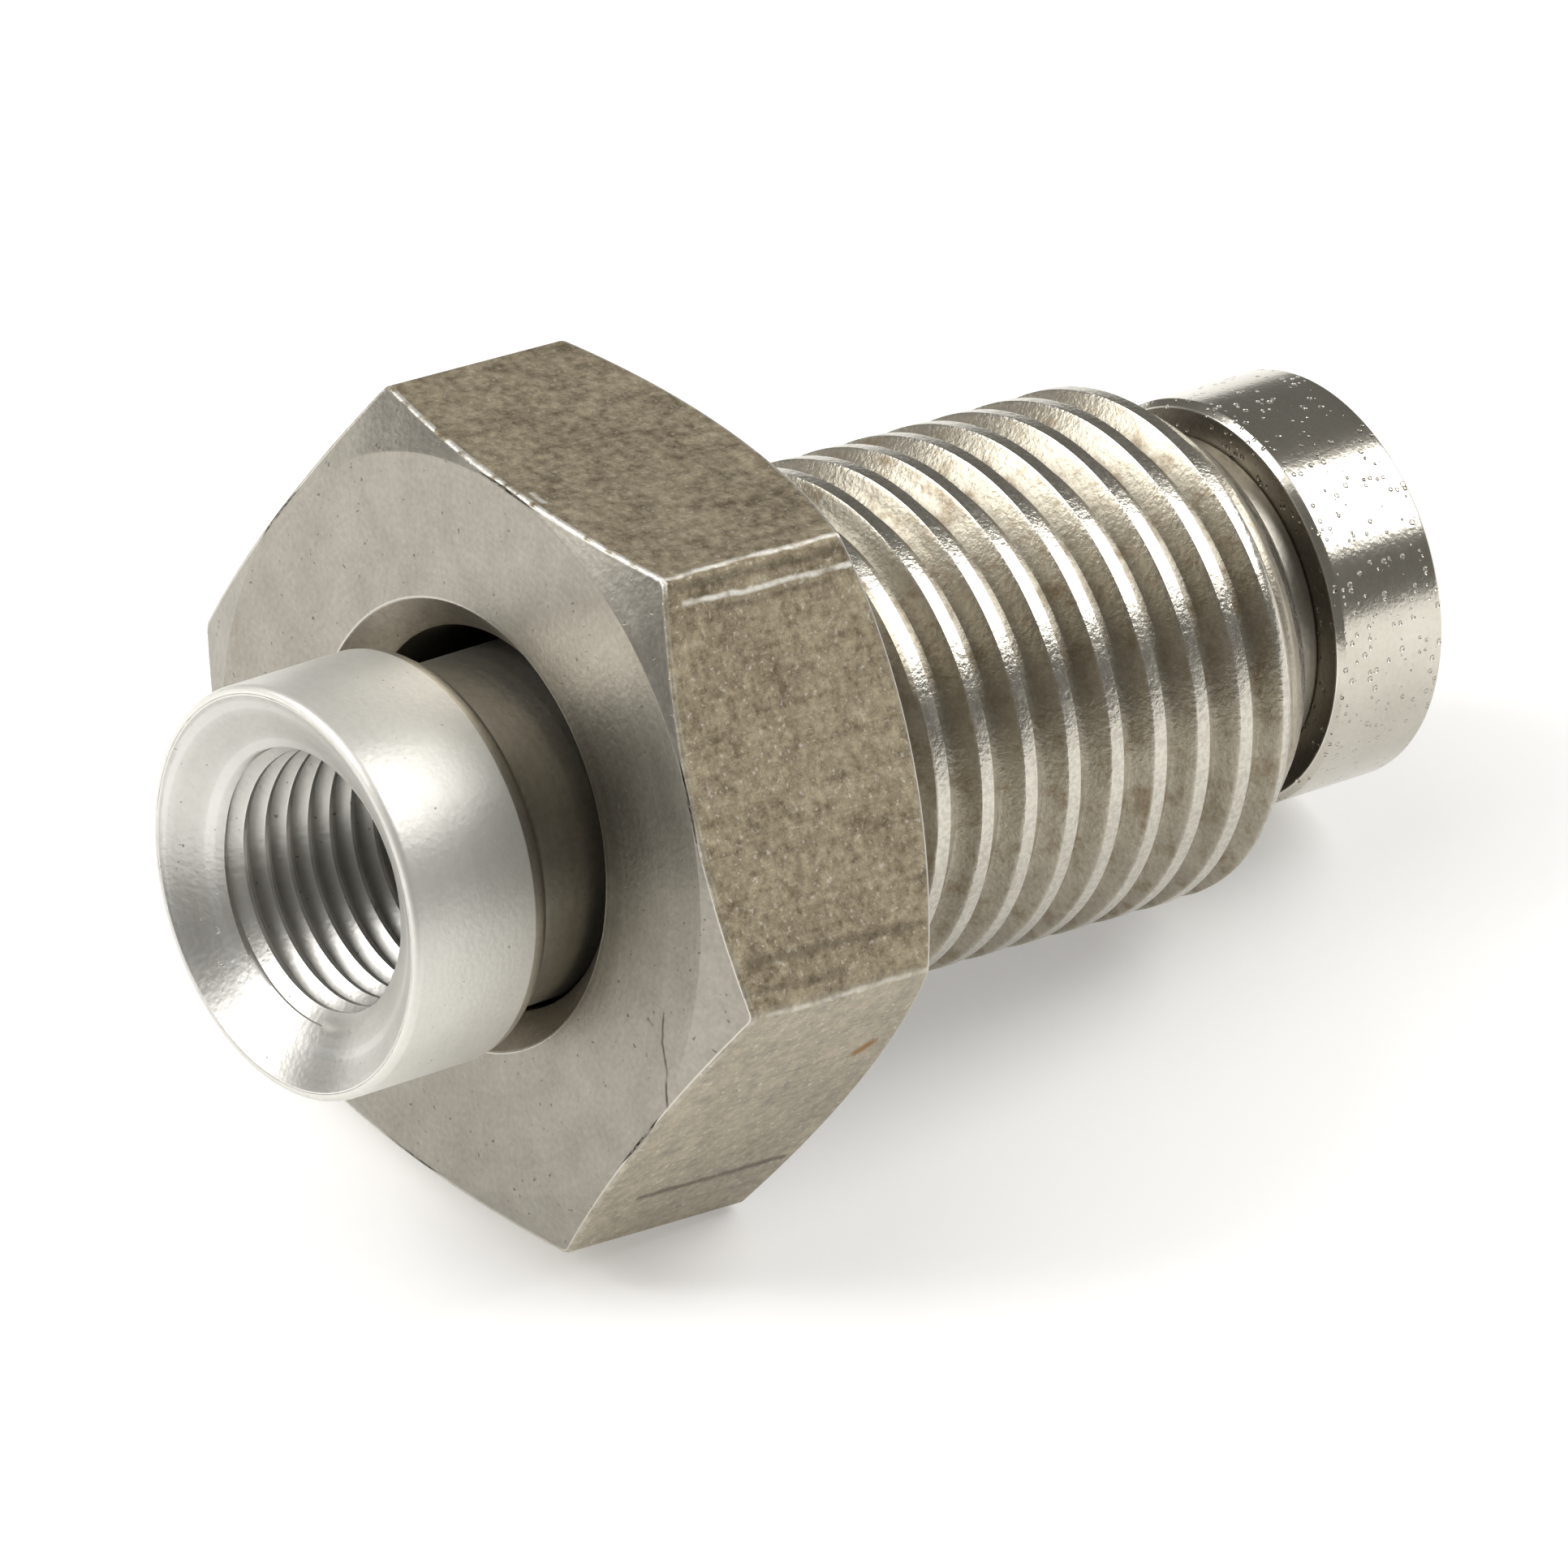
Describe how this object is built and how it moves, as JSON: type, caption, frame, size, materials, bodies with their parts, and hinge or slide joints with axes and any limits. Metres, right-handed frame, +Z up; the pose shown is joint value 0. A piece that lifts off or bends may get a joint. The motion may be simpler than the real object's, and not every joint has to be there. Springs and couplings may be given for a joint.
{
  "type": "brake hose adapter",
  "caption": "Hexagonal threaded gland nut that turns freely on a short steel tube with a tapped hose mouth at one end and a plain pressed sleeve at the other.",
  "frame": {"origin": "on the floor, below the middle of the adapter's box", "axes": "+X along the adapter from the hose mouth to the sleeve, seen from above; +Z up; the adapter lies on one flat of its hexagon and on the end of its thread"},
  "size_m": [0.0306, 0.0196, 0.0179],
  "materials": {
    "nut_steel": "turned end face, drawn and slightly rusty flats",
    "tube_steel": "satin turned",
    "sleeve_steel": "bright turned with small pits"
  },
  "bodies": {
    "tube": {"swivel_tube": "tube_steel", "end_sleeve": "sleeve_steel"},
    "nut": {"gland_nut": "nut_steel"}
  },
  "joints": [
    {"name": "nut_spin", "type": "hinge", "parent": "tube", "child": "nut", "pos_m": [-0.00966, 0, 0.00956], "axis": [0.9801, 0, -0.1983], "continuous": true}
  ]
}
